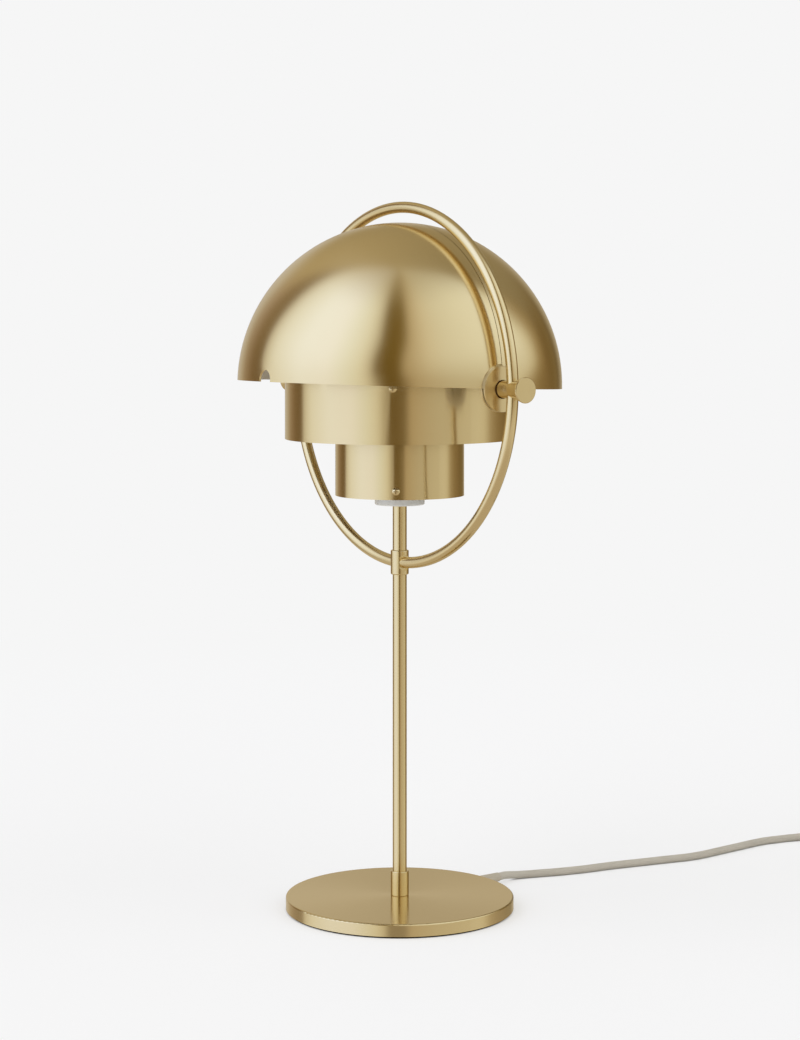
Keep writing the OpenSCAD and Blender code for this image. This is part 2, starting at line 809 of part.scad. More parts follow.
// The rear shade ends in the inner ear, which a pressed step sets in under the outer one.
module rear_shade() {
    color(BRASS) translate([0, 0, pivot_z]) rotate([-shade_lean, 0, 0]) difference() {
        union() {
            mirror([0, 1, 0]) intersection() {
                union() {
                    difference() {
                        shell_sphere();
                        disc_x(-shade_r * 2, shade_r * 2, ear_r + air);
                    }
                    both_sides()
                        ring_x(inner_ear_in, inner_ear_x + shade_t * 0.4, ear_r + ear_step, ear_r - 0.4);
                }
                front_quarter();
            }
            both_sides() disc_x(inner_ear_in, inner_ear_x, ear_r);
        }
        mirror([0, 1, 0]) notch();
        disc_x(-shade_r * 2, shade_r * 2, bush_d / 2 + slip);
    }
}

// ---------------------------------------------------------------- pivots

// A turned post, waisted where the ring's rod goes through it.
module pivot_post() {
    color(BRASS) difference() {
        translate([0, 0, pivot_z]) along_x() rotate_extrude() polygon([
            [0, post_x], [post_d / 2 - 0.3, post_x], [post_d / 2, post_x + 0.3],
            [post_d / 2, post_x + 2], [(post_d + waist_d) / 4, post_x + 5],
            [waist_d / 2, ring_r - 2], [waist_d / 2, ring_r], [knob_foot, knob_x],
            [0, knob_x]
        ]);
        ring_rod(ring_rod_d + 2 * slip, ring_end_gap);
        translate([0, 0, pivot_z]) disc_x(post_x - 1, ring_r, bolt_d / 2);
        translate([0, 0, pivot_z]) disc_x(ring_r, knob_x + 1, bolt_d / 2);
    }
}

// A flared knob whose stub clamps the post on the ring.
module knob() {
    face = knob_d / 2;
    flare = knob_l - 1;
    steps = 6;
    color(BRASS) translate([0, 0, pivot_z]) along_x() rotate_extrude() polygon(concat(
        [[0, ring_r + ring_rod_d / 2 + 0.1], [bolt_d / 2 - slip, ring_r + ring_rod_d / 2 + 0.1],
         [bolt_d / 2 - slip, knob_x]],
        [for (i = [0 : steps])
            let (u = i / steps) [knob_foot + (face - knob_foot) * pow(u, 1.15), knob_x + flare * u]],
        [[face, knob_face_x - 0.4], [face - 0.4, knob_face_x], [0, knob_face_x]]
    ));
}

module right_pivot_post() {
    pivot_post();
}

module left_pivot_post() {
    mirror([1, 0, 0]) pivot_post();
}

module right_knob() {
    knob();
}

module left_knob() {
    mirror([1, 0, 0]) knob();
}

// Flanged bushes: the sleeve carries both ears and the flange shows round the post.
module pivot_bushes() {
    color(BLACK) translate([0, 0, pivot_z]) both_sides() difference() {
        union() {
            disc_x(flange_x, post_x, bush_flange_d / 2);
            disc_x(flat_washer_x + flat_washer_t, post_x, bush_d / 2);
        }
        disc_x(0, shade_r * 2, bolt_d / 2 + slip);
    }
}

module friction_washers() {
    color(BLACK) translate([0, 0, pivot_z]) both_sides()
        ring_x(friction_x, friction_x + friction_t, friction_d / 2, bush_d / 2 + slip);
}

module flat_washers() {
    color(STEEL) translate([0, 0, pivot_z]) both_sides()
        ring_x(flat_washer_x, flat_washer_x + flat_washer_t, flat_washer_d / 2, bolt_d / 2 + slip);
}

// A split spring washer, shown pressed flat.
module spring_washers() {
    color(STEEL) translate([0, 0, pivot_z]) both_sides() difference() {
        ring_x(spring_washer_x, flat_washer_x, spring_washer_d / 2, bolt_d / 2 + slip);
        translate([0, 0, spring_washer_d / 2]) rotate([0, 0, 25])
            translate([spring_washer_x * cos(25), spring_washer_x * sin(-25), 0])
                cube([8, 0.9, spring_washer_d], center = true);
    }
}

module pivot_bolts() {
    color(STEEL) translate([0, 0, pivot_z]) both_sides() difference() {
        union() {
            disc_x(spring_washer_x - eps, bolt_tip_x, bolt_d / 2 - eps);
            intersection() {
                disc_x(bolt_head_x - 1, spring_washer_x, bolt_head_d / 2);
                translate([bolt_head_x + bolt_head_d * 0.62, 0, 0]) sphere(d = bolt_head_d * 1.24);
            }
        }
        for (a = [0, 90])
            rotate([a, 0, 0]) translate([bolt_head_x - 1, -bolt_head_d * 0.3, -0.5])
                cube([2.6, bolt_head_d * 0.6, 1]);
    }
}

// ---------------------------------------------------------------- cord

// A tapered strain relief: a flange inside the cover, a neck in its hole and a taper outside.
module strain_relief() {
    tip = relief_end - base_r;
    color(TEXTILE) at_exit() rotate([-90, 0, 0]) difference() {
        union() {
            intersection() {
                translate([0, 0, cover_ri - 2.2]) cylinder(r = 4.2, h = 2);
                translate([-5, exit_z - skin_z + 0.1, 0]) cube([10, skin_z - pad_t - 0.2, base_r]);
            }
            rotate_extrude() polygon([
                [0, cover_ri - 1], [neck_d / 2, cover_ri - 1], [neck_d / 2, base_r + 0.1],
                [relief_d / 2, base_r + 0.1], [relief_d / 2, base_r + 3],
                [relief_tip_d / 2, base_r + tip], [0, base_r + tip]
            ]);
        }
        cylinder(d = cord_d + 2 * slip, h = base_d);
    }
}

// The cord inside the base and the strain relief.
module inner_cord() {
    start = recess_d / 2 + 1;
    color(TEXTILE) at_exit() translate([0, start, 0]) rotate([-90, 0, 0])
        cylinder(d = cord_d, h = relief_end - start);
}

module cord_run() {
    color(TEXTILE) swept_tube(run_points, cord_d, cord_sides);
}

module cord_link() {
    color(TEXTILE) swept_tube(link_points, cord_d, cord_sides);
}

module cord_tail() {
    color(TEXTILE) swept_tube(tail_points, cord_d, cord_sides);
}

// The coil: one cord that spirals in, climbs a layer where the spiral reverses, and spirals out.
function away(t) = sqrt(pow(t - coil_turns * 180, 2) + coil_ease * coil_ease);
function coil_radius(t) = coil_r - coil_pitch * (away(0) - away(t)) / 360;
function climb(t) =
    let (u = min(1, max(0, (t - coil_turns * 180 + 90) / 180))) u * u * (3 - 2 * u);
function coil_point(t) = [
    coil_centre[0] + coil_radius(t) * sin(t),
    coil_centre[1] + coil_radius(t) * cos(t),
    coil_z() + coil_layer * climb(t)
];
coil_count = coil_turns * coil_steps;
coil_points = [for (i = [0 : coil_count]) coil_point(i * 360 / coil_steps)];

// Least gap between turns, measured on the points at least half a turn apart.
coil_gap = min([for (i = [0 : coil_count - coil_steps / 2], j = [i + coil_steps / 2 : coil_count])
    norm(coil_points[i] - coil_points[j])]) - cord_d;
coil_length = total([for (i = [1 : coil_count]) norm(coil_points[i] - coil_points[i - 1])]);
echo(coil_gap = coil_gap, coil_length = coil_length, coil_inner = coil_radius(coil_turns * 180));

module cord_coil() {
    link_end = len(link_points) - 1;
    color(TEXTILE) swept_tube(
        coil_points, cord_d, coil_sides,
        unit(link_points[link_end] - link_points[link_end - 1]),
        unit(tail_points[1] - tail_points[0])
    );
}

// A strap round all the turns of the coil, on its near side.
module coil_tie() {
    inner = coil_radius(coil_turns * 180) - cord_d / 2 - air;
    outer = coil_r + cord_d / 2 + air;
    top = coil_z() + coil_layer + cord_d / 2 + air;
    color(BLACK) translate([coil_centre[0], coil_centre[1], 0]) rotate([0, 0, 215])
        rotate([90, 0, 0]) translate([0, 0, -tie_w / 2]) linear_extrude(tie_w) difference() {
            translate([inner - tie_t, 0]) square([outer - inner + 2 * tie_t, top + tie_t]);
            translate([inner, tie_t - air / 2]) square([outer - inner, top - tie_t + air / 2]);
        }
}

// ---------------------------------------------------------------- switch

// A block with round ends along Y and a rounded upper edge.
module pill(r, length, h, edge) {
    half = length / 2 - r;
    union() {
        for (s = [-1, 1])
            translate([0, s * half, 0]) rotate_extrude() union() {
                square([r, h - edge]);
                square([r - edge, h]);
                translate([r - edge, h - edge]) intersection() {
                    circle(r = edge, $fn = 32);
                    square(edge);
                }
            }
        translate([-r, -half, 0]) cube([2 * r, 2 * half, h - edge]);
        translate([-(r - edge), -half, 0]) cube([2 * (r - edge), 2 * half, h]);
        for (s = [-1, 1])
            translate([s * (r - edge), half, h - edge]) rotate([90, 0, 0])
                cylinder(r = edge, h = 2 * half, $fn = 32);
    }
}

module flat_pill(r, length, h) {
    half = length / 2 - r;
    for (s = [-1, 1])
        translate([0, s * half, 0]) cylinder(r = r, h = h);
    translate([-r, -half, 0]) cube([2 * r, 2 * half, h]);
}

switch_reach = run_points[len(run_points) - 1][1] - switch_centre[1];
rocker_z = switch_h - 4.1;
pin_r = 1.2;

module at_switch() {
    translate([switch_centre[0], switch_centre[1], 0]) children();
}

module switch_base() {
    color(BLACK) at_switch() difference() {
        union() {
            flat_pill(switch_w / 2, switch_l, switch_split);
            translate([0, switch_reach, switch_split]) rotate([-90, 0, 0])
                cylinder(d = nozzle_d, h = -2 * switch_reach);
        }
        translate([0, 0, switch_t])
            flat_pill(switch_w / 2 - switch_t, switch_l - 2 * switch_t, switch_h);
    }
}

module switch_cover() {
    lid = switch_h - switch_split;
    color(BLACK) at_switch() difference() {
        union() {
            translate([0, 0, switch_split]) difference() {
                pill(switch_w / 2, switch_l, lid, 1.5);
                translate([0, 0, -1])
                    flat_pill(switch_w / 2 - switch_t, switch_l - 2 * switch_t, lid - switch_t + 1);
            }
            // ears that carry the rocker's pins
            for (s = [-1, 1])
                translate([s * (rocker_w / 2 + air) - (s < 0 ? 2.2 : 0), -3, rocker_z - 2.4])
                    cube([2.2, 6, switch_h - 1 - rocker_z + 2.4]);
        }
        translate([0, 0, rocker_z]) {
            disc_x(-rocker_w / 2 - air, rocker_w / 2 + air, rocker_r + air);
            disc_x(-rocker_w / 2 - 1.9, rocker_w / 2 + 1.9, pin_r + slip);
        }
        // the nozzles pass between the two halves
        translate([0, 2 * switch_reach, switch_split]) rotate([-90, 0, 0])
            cylinder(d = nozzle_d, h = -4 * switch_reach);
    }
}

// A rocker with two faces that meet at its middle, shown pressed down at its near end.
module switch_rocker() {
    dip = 3.4;
    rise = rocker_r * tan(rocker_tilt);
    color(BLACK) at_switch() translate([0, 0, rocker_z]) rotate([rocker_tilt, 0, 0]) {
        intersection() {
            disc_x(-rocker_w / 2, rocker_w / 2, rocker_r);
            translate([-rocker_w / 2, 0, 0]) rotate([90, 0, 90]) linear_extrude(rocker_w) polygon([
                [-rocker_r, -2.4], [rocker_r, -2.4], [rocker_r, dip + rise], [0, dip],
                [-rocker_r, dip + rise]
            ]);
        }
        disc_x(-rocker_w / 2 - 1.7, rocker_w / 2 + 1.7, pin_r);
    }
}

// ---------------------------------------------------------------- plug

module plug_face(w, h) {
    for (x = [-1, 1])
        translate([x * (w - h) / 2, 0, 0]) rotate([90, 0, 0]) cylinder(d = h, h = 1, $fn = 32);
}

// A flat two-pin plug that lies on the table with its pins towards the lamp.
module plug_body() {
    face_y = plug_end[1] - plug_relief_l - plug_l;
    difference() {
        color(BLACK) translate([plug_end[0], 0, plug_h / 2]) {
            hull() {
                translate([0, face_y + 1, 0]) plug_face(plug_w, plug_h);
                translate([0, face_y + plug_l * 0.4, 0]) plug_face(plug_w, plug_h);
                translate([0, face_y + plug_l, 0]) plug_face(plug_w * 0.5, plug_h * 0.86);
            }
            translate([0, face_y + plug_l - 1, 0]) rotate([-90, 0, 0])
                cylinder(d1 = plug_h * 0.8, d2 = cord_d + 1.6, h = plug_relief_l + 1, $fn = 32);
        }
    }
}

module plug_pins() {
    face_y = plug_end[1] - plug_relief_l - plug_l;
    color(STEEL) translate([plug_end[0], face_y, plug_h / 2])
        for (s = [-1, 1])
            translate([s * pin_pitch / 2, 0, 0]) rotate([90, 0, 0]) rotate_extrude() polygon([
                [0, 0], [pin_d / 2, 0], [pin_d / 2, pin_l - 1], [pin_d / 2 - 0.6, pin_l], [0, pin_l]
            ]);
}

// ---------------------------------------------------------------- nodes

base_cover();
base_weight();
base_pad();
base_nut();
base_washer();
pole_collar();
collar_grub_screw();
pole_lower();
ring_connector();
pole_upper();
ring();
holder_cap();
cylinder_bracket();
lampholder_body();
terminal_block();
screw_shell();
centre_contact();
lead_wires();
bulb_cap();
bulb_glass();
inner_cylinder();
outer_band();
band_spacers();
bracket_screws();
band_screws();
spacer_screws();
front_shade();
rear_shade();
right_pivot_post();
left_pivot_post();
right_knob();
left_knob();
pivot_bushes();
friction_washers();
flat_washers();
spring_washers();
pivot_bolts();
strain_relief();
inner_cord();
cord_run();
switch_base();
switch_cover();
switch_rocker();
cord_link();
cord_coil();
coil_tie();
cord_tail();
plug_body();
plug_pins();
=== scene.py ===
import math

import bpy
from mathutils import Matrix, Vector


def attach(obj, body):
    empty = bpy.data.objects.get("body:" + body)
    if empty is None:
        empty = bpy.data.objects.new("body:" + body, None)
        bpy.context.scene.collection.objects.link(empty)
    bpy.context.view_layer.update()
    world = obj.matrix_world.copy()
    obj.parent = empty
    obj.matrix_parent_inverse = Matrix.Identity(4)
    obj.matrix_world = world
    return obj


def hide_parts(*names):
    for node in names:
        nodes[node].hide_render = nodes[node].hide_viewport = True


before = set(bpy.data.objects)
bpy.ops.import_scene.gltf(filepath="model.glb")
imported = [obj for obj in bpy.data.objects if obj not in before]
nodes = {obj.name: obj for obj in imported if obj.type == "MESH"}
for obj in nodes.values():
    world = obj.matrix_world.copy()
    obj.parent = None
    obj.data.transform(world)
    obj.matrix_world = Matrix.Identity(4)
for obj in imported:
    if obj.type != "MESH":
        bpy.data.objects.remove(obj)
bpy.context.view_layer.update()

scene = bpy.context.scene

# ---------------------------------------------------------------- camera

AZIMUTH = math.radians(53.265)      # from the lamp's front, -Y, round towards +X
DISTANCE = 1.6515
CAMERA_HEIGHT = 0.4267
SENSOR = 36                         # mm
LENS = 80.77                        # mm
SHIFT_ACROSS, SHIFT_DOWN = 0.00027, -0.20651
NEAREST, FARTHEST = 0.05, 60

cam_data = bpy.data.cameras.new("camera")
camera = bpy.data.objects.new("camera", cam_data)
scene.collection.objects.link(camera)
camera.location = (math.sin(AZIMUTH) * DISTANCE, -math.cos(AZIMUTH) * DISTANCE, CAMERA_HEIGHT)
camera.rotation_euler = (math.pi / 2, 0, AZIMUTH)
cam_data.sensor_width = SENSOR
cam_data.lens = LENS
cam_data.shift_x, cam_data.shift_y = SHIFT_ACROSS, SHIFT_DOWN
cam_data.clip_start, cam_data.clip_end = NEAREST, FARTHEST
scene.camera = camera

# ---------------------------------------------------------------- routes of the cord, in metres

CORD_D = 0.0055
STEP = 0.0014                       # between the rings of a cord's skin
SIDES = 20                          # points in a ring

# From the strain relief in the base to the switch.
RUN = [
    (-0.0130, 0.1000, 0.0049), (-0.0139, 0.10695, 0.0049), (-0.0150, 0.1140, 0.0040),
    (-0.0150, 0.1210, 0.0031), (-0.0130, 0.1290, 0.00275), (-0.0100, 0.1380, 0.00275),
    (-0.0060, 0.1490, 0.00275), (-0.0030, 0.1600, 0.00275), (0.0000, 0.1720, 0.00275),
    (0.0020, 0.1840, 0.00275), (0.0040, 0.1970, 0.00275), (0.0070, 0.2100, 0.00275),
    (0.0100, 0.2230, 0.00275), (0.0130, 0.2360, 0.00275), (0.0160, 0.2490, 0.00275),
    (0.0190, 0.2620, 0.00275), (0.0200, 0.2760, 0.00275), (0.0190, 0.2910, 0.00275),
    (0.0180, 0.3060, 0.00275), (0.0170, 0.3210, 0.00275), (0.0160, 0.3350, 0.00275),
    (0.0160, 0.3480, 0.00275), (0.0180, 0.3600, 0.00275), (0.0200, 0.3700, 0.00275),
    (0.0240, 0.3810, 0.0031), (0.0280, 0.3900, 0.0046), (0.0310, 0.3980, 0.0066),
    (0.0320, 0.4060, 0.0075), (0.0320, 0.4120, 0.0075),
]
# From the switch to the coil.
LINK = [
    (0.0320, 0.4720, 0.0075), (0.0320, 0.4780, 0.0075), (0.0340, 0.4860, 0.0062),
    (0.0390, 0.4930, 0.0048), (0.0460, 0.4970, 0.0039), (0.0550, 0.4980, 0.0037),
    (0.0650, 0.4950, 0.0037), (0.0750, 0.4900, 0.0037), (0.0820, 0.4870, 0.0037),
    (0.0890, 0.4850, 0.00365), (0.0950, 0.4850, 0.00365),
]
# From the coil to the plug.
TAIL = [
    (0.1350, 0.4450, 0.00965), (0.1350, 0.4390, 0.00965), (0.1340, 0.4300, 0.0089),
    (0.1310, 0.4200, 0.0081), (0.1270, 0.4100, 0.0073), (0.1230, 0.4010, 0.00685),
    (0.1210, 0.3930, 0.00685), (0.1210, 0.3870, 0.00685),
]
COIL_CENTRE = (0.095, 0.445)
COIL_Z = 0.00365                    # of the lower layer
COIL_R = 0.040                      # where the coil starts
COIL_TURNS = 6.25
COIL_LAYER = 0.006                  # from the lower layer up to the upper one
COIL_PITCH = 0.006                  # from a turn in to the next
COIL_EASE = 25                      # degrees over which the spiral turns back
COIL_CLIMB = 180                    # degrees over which it climbs to the upper layer
COIL_STEPS = 72                     # points a turn


def coil_points():
    """The coil spirals in, climbs a layer where the spiral turns back, and spirals out."""
    half = COIL_TURNS * 180

    def away(t):
        return math.hypot(t - half, COIL_EASE)

    points = []
    for i in range(int(COIL_TURNS * COIL_STEPS) + 1):
        t = i * 360 / COIL_STEPS
        radius = COIL_R - COIL_PITCH * (away(0) - away(t)) / 360
        u = min(1, max(0, (t - half + COIL_CLIMB / 2) / COIL_CLIMB))
        points.append(Vector((
            COIL_CENTRE[0] + radius * math.sin(math.radians(t)),
            COIL_CENTRE[1] + radius * math.cos(math.radians(t)),
            COIL_Z + COIL_LAYER * u * u * (3 - 2 * u),
        )))
    return points


def smooth(points):
    """A curve through the points (Catmull-Rom), in short steps."""
    points = [Vector(p) for p in points]
    line = [points[0]]
    for i in range(len(points) - 1):
        a = points[max(i - 1, 0)]
        b, c = points[i], points[i + 1]
        d = points[min(i + 2, len(points) - 1)]
        count = max(2, round((c - b).length / STEP))
        for k in range(1, count + 1):
            t = k / count
            line.append(0.5 * (2 * b + (c - a) * t + (2 * a - 5 * b + 4 * c - d) * t * t
                               + (3 * b - a - 3 * c + d) * t ** 3))
    return line


def join(*parts):
    """One line from several, without the points that fall on the one before."""
    line = []
    for part in parts:
        for p in part:
            if not line or (p - line[-1]).length > STEP / 10:
                line.append(p)
    return line


def tube(name, line, diameter, material):
    """A skin round the line, closed at both ends.  Its map runs once round the cord, and along it
    in the same measure."""
    vertices, faces, spots = [], [], []
    radius = diameter / 2
    along = 0
    tangent = (line[1] - line[0]).normalized()
    side = tangent.cross(Vector((0, 0, 1))).normalized()
    for i, point in enumerate(line):
        if i:
            along += (point - line[i - 1]).length
        ahead = (line[min(i + 1, len(line) - 1)] - line[max(i - 1, 0)]).normalized()
        side = (side - ahead * side.dot(ahead)).normalized()
        up = side.cross(ahead)
        for k in range(SIDES):
            a = 2 * math.pi * k / SIDES
            vertices.append(point + radius * (math.cos(a) * side + math.sin(a) * up))
        spots.append(along / (math.pi * diameter))
    for i in range(len(line) - 1):
        for k in range(SIDES):
            n = (k + 1) % SIDES
            faces.append((i * SIDES + k, i * SIDES + n, (i + 1) * SIDES + n, (i + 1) * SIDES + k))
    last = (len(line) - 1) * SIDES
    faces.append(tuple(range(SIDES - 1, -1, -1)))
    faces.append(tuple(range(last, last + SIDES)))
    mesh = bpy.data.meshes.new(name)
    mesh.from_pydata(vertices, [], faces)
    layer = mesh.uv_layers.new(name="braid")
    for face in mesh.polygons[:-2]:     # all but the two ends
        i, k = divmod(face.index, SIDES)
        for corner, (di, dk) in zip(face.loop_indices, ((0, 0), (0, 1), (1, 1), (1, 0))):
            layer.data[corner].uv = ((k + dk) / SIDES, spots[i + di])
        face.use_smooth = True
    mesh.materials.append(material)
    mesh.validate()
    obj = bpy.data.objects.new(name, mesh)
    scene.collection.objects.link(obj)
    return obj


# ---------------------------------------------------------------- material helpers


def srgb(r, g, b):
    """A colour given as it looks on a screen, 0 to 255, in linear values."""
    def lin(c):
        c /= 255
        return c / 12.92 if c <= 0.04045 else ((c + 0.055) / 1.055) ** 2.4
    return (lin(r), lin(g), lin(b), 1)


def grey(level):
    return (level, level, level, 1)


class Nodes:
    """Short calls to build a node tree, of a material or of the world.  A value is a number or a
    colour, or the output of another node."""

    def __init__(self, name=None, tree=None):
        if tree is None:
            self.material = bpy.data.materials.new(name)
            self.material.use_nodes = True
            tree = self.material.node_tree
        self.tree = tree
        tree.nodes.clear()

    def put(self, socket, value):
        if isinstance(value, bpy.types.NodeSocket):
            self.tree.links.new(value, socket)
        else:
            socket.default_value = value

    def add(self, kind, values=None, **settings):
        node = self.tree.nodes.new("ShaderNode" + kind)
        for key, value in settings.items():
            setattr(node, key, value)
        for key, value in (values or {}).items():
            self.put(node.inputs[key], value)
        return node

    def math(self, operation, a, b=0.0, c=0.0):
        return self.add("Math", {0: a, 1: b, 2: c}, operation=operation).outputs[0]

    def vector(self, operation, a, b=(0, 0, 0)):
        node = self.add("VectorMath", {0: a, 1: b}, operation=operation)
        return node.outputs["Value" if operation in ("DOT_PRODUCT", "LENGTH") else "Vector"]

    def scale(self, a, factor):
        return self.add("VectorMath", {0: a, "Scale": factor}, operation="SCALE").outputs[0]

    def weigh(self, *terms):
        """The sum of the terms, each a value and its weight."""
        (value, weight), *others = terms
        part = self.math("MULTIPLY", value, weight)
        return self.math("ADD", part, self.weigh(*others)) if others else part

    def vary(self, middle, spread, fac):
        """A value that stands at its middle where fac is a half."""
        return self.math("MULTIPLY_ADD", fac, spread, middle - spread / 2)

    def change(self, value, start, end, low=0.0, high=1.0, kind="SMOOTHSTEP"):
        """From low to high, while the value goes from start to end."""
        return self.add("MapRange", {
            "Value": value, "From Min": start, "From Max": end, "To Min": low, "To Max": high,
        }, interpolation_type=kind).outputs[0]

    def ramp(self, fac, stops):
        node = self.add("ValToRGB", {"Fac": fac})
        ramp = node.color_ramp.elements
        while len(ramp) < len(stops):
            ramp.new(0.5)
        for element, (place, colour) in zip(ramp, stops):
            element.position = place
            element.color = colour
        return node.outputs["Color"]

    def mix(self, fac, a, b):
        # 6, 7 and 2 are the Mix node's sockets for colours
        return self.add("Mix", {0: fac, 6: a, 7: b}, data_type="RGBA").outputs[2]

    def noise(self, place, scale, detail=2.0, roughness=0.5):
        return self.add("TexNoise", {
            "Vector": place, "Scale": scale, "Detail": detail, "Roughness": roughness,
        }).outputs[0]

    def bump(self, height, strength, distance):
        return self.add("Bump", {
            "Height": height, "Strength": strength, "Distance": distance,
        }).outputs[0]

    def surface(self, shader):
        """Make the shader the material's surface, and give back the material."""
        output = self.add("OutputMaterial")
        self.tree.links.new(shader.outputs[0], output.inputs["Surface"])
        return self.material


def dress(names, material):
    """Give the named nodes this material and no other."""
    for name in names.split():
        slots = nodes[name].data.materials
        slots.clear()
        slots.append(material)


# ---------------------------------------------------------------- cords

CORD_LIGHT = srgb(210, 203, 188)
CORD_DARK = srgb(144, 136, 121)
STRANDS = 12                        # of the braid, each way round
FIBRES = 2600                       # to the metre
PATCHES = 60                        # to the metre, of a lighter or darker tone


def textile(name, mapped=True):
    """A woven sleeve: two sets of strands wind round the cord and pass over and under each other.
    They follow the map of a tube, or lie round the Y axis where there is no map."""
    n = Nodes(name)
    if mapped:
        parts = n.add("SeparateXYZ", {0: n.add("UVMap", uv_map="braid").outputs[0]}).outputs
        around, along = parts[0], parts[1]
    else:
        parts = n.add("SeparateXYZ", {0: n.add("TexCoord").outputs["Object"]}).outputs
        around = n.math("MULTIPLY", n.math("ARCTAN2", parts[0], parts[2]), 1 / (2 * math.pi))
        along = n.math("MULTIPLY", parts[1], 1 / (math.pi * CORD_D))

    def crown(strand):
        return n.math("ABSOLUTE", n.math("SINE", n.math("MULTIPLY", strand, math.pi)))

    left = n.math("MULTIPLY", n.math("ADD", around, along), STRANDS)
    right = n.math("MULTIPLY", n.math("SUBTRACT", around, along), STRANDS)
    on_top = n.add("TexChecker", {
        "Vector": n.add("CombineXYZ", {0: left, 1: right, 2: 0.5}).outputs[0], "Scale": 1.0,
    }).outputs["Fac"]
    height = n.math("ADD", n.math("MULTIPLY", crown(left), on_top),
                    n.math("MULTIPLY", crown(right), n.math("SUBTRACT", 1.0, on_top)))
    place = n.add("TexCoord").outputs["Object"]
    fibre = n.noise(place, FIBRES)
    # The colour follows the strands' height: crowns lighter and the hollows between strands darker,
    # as painted shade, mixed with random fibre and patch tone.
    tone = n.weigh((height, 0.6), (fibre, 0.25), (n.noise(place, PATCHES), 0.25))
    relief = n.math("ADD", height, n.math("MULTIPLY", fibre, 0.3))
    return n.surface(n.add("BsdfPrincipled", {
        "Base Color": n.mix(tone, CORD_DARK, CORD_LIGHT),
        "Roughness": 0.8, "Sheen Weight": 0.25, "Sheen Roughness": 0.4,
        "Normal": n.bump(relief, strength=0.7, distance=0.00025),
    }))


textile_cord = textile("textile_cord")
dress("inner_cord", textile("textile_inner", mapped=False))

run_line = smooth(RUN)
run = tube("cord_to_switch", run_line, CORD_D, textile_cord)
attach(run, "frame")
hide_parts("cord_run")

tail_line = join(smooth(LINK), coil_points(), smooth(TAIL))
tail = tube("cord_to_plug", tail_line, CORD_D, textile_cord)
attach(tail, "frame")
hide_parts("cord_link", "cord_coil", "cord_tail")

# ---------------------------------------------------------------- brushed brass

BRASS = (0.83, 0.69, 0.41, 1)
BRASS_WORN = (0.80, 0.655, 0.38, 1)
BRASS_EDGE = (0.86, 0.82, 0.73, 1)  # seen along the surface, where plain metal would turn white
BLOTCHES = 22                       # to the metre, of the worn tone
MARKS_ACROSS = 4200                 # brush marks to the metre, across them
MARKS_ROUND = 2.2                   # and to the radian, along them
MARK_DEPTH = 0.00003
MARK_ROUGHNESS = 0.05               # from the smoothest mark to the roughest
PIVOT_Z = 0.3705                    # of the shades' axis, which runs along X
EAR_EDGE = (0.0172, 0.0158)         # the ears are rougher inside these distances from that axis
EAR_ROUGHER = 0.14
FACING_IN = -0.5                    # below this a shade's surface looks in at the pivots' middle
LACQUER_LIGHT = srgb(238, 236, 230)
LACQUER_DARK = srgb(232, 229, 221)


def brass_tree(name, roughness, anisotropy, axis="Z", across=1.0, relief=0.06):
    """Brushed brass.  The brush marks run round the axis: long round it and fine along it, so that
    what it mirrors is drawn out across them."""
    n = Nodes(name)
    place = n.add("TexCoord").outputs["Object"]
    if axis != "Z":
        place = n.vector("SUBTRACT", place, (0, 0, PIVOT_Z))
    parts = n.add("SeparateXYZ", {0: place}).outputs
    along, first, second = {
        "X": (parts[0], parts[1], parts[2]),
        "Y": (parts[1], parts[0], parts[2]),
        "Z": (parts[2], parts[0], parts[1]),
    }[axis]
    angle = n.math("ARCTAN2", first, second)
    out = n.math("SQRT", n.math("ADD", n.math("MULTIPLY", first, first),
                                n.math("MULTIPLY", second, second)))
    marks_place = n.add("CombineXYZ", {
        0: n.math("MULTIPLY", along, MARKS_ACROSS * across),
        1: n.math("MULTIPLY", angle, MARKS_ROUND),
        2: n.math("MULTIPLY", out, MARKS_ACROSS * across),
    }).outputs[0]
    marks = n.noise(marks_place, 1.0, detail=3, roughness=0.6)
    worn = n.math("MULTIPLY", n.noise(place, BLOTCHES), 0.5)
    values = {
        "Base Color": n.mix(worn, BRASS, BRASS_WORN), "Metallic": 1.0,
        "Specular Tint": BRASS_EDGE, "Roughness": n.vary(roughness, MARK_ROUGHNESS, marks),
        "Anisotropic": anisotropy, "Normal": n.bump(marks, relief, MARK_DEPTH),
    }
    if anisotropy:
        values["Tangent"] = n.add("Tangent", direction_type="RADIAL", axis=axis).outputs[0]
        values["Anisotropic Rotation"] = 0.25
    return n, values


def brass(*args, **options):
    n, values = brass_tree(*args, **options)
    return n.surface(n.add("BsdfPrincipled", values))


def shade_metal():
    """Brass outside, rougher on the ears, and white lacquer inside."""
    n, values = brass_tree("shade_metal", roughness=0.205, anisotropy=0.6)
    coords = n.add("TexCoord").outputs
    from_middle = n.vector("SUBTRACT", coords["Object"], (0, 0, PIVOT_Z))
    from_axis = n.vector("LENGTH", n.vector("MULTIPLY", from_middle, (0, 1, 1)))
    ear = n.change(from_axis, *EAR_EDGE, kind="LINEAR")
    values["Roughness"] = n.math("MULTIPLY_ADD", ear, EAR_ROUGHER, values["Roughness"])
    facing = n.vector("DOT_PRODUCT", n.vector("NORMALIZE", from_middle), coords["Normal"])
    inside = n.math("LESS_THAN", facing, FACING_IN)
    grain = n.noise(coords["Object"], 900)
    lacquer = n.add("BsdfPrincipled", {
        "Base Color": n.mix(grain, LACQUER_DARK, LACQUER_LIGHT),
        "Roughness": 0.5, "Normal": n.bump(grain, strength=0.1, distance=0.00005),
    })
    return n.surface(n.add("MixShader", {
        0: inside, 1: n.add("BsdfPrincipled", values).outputs[0], 2: lacquer.outputs[0]}))


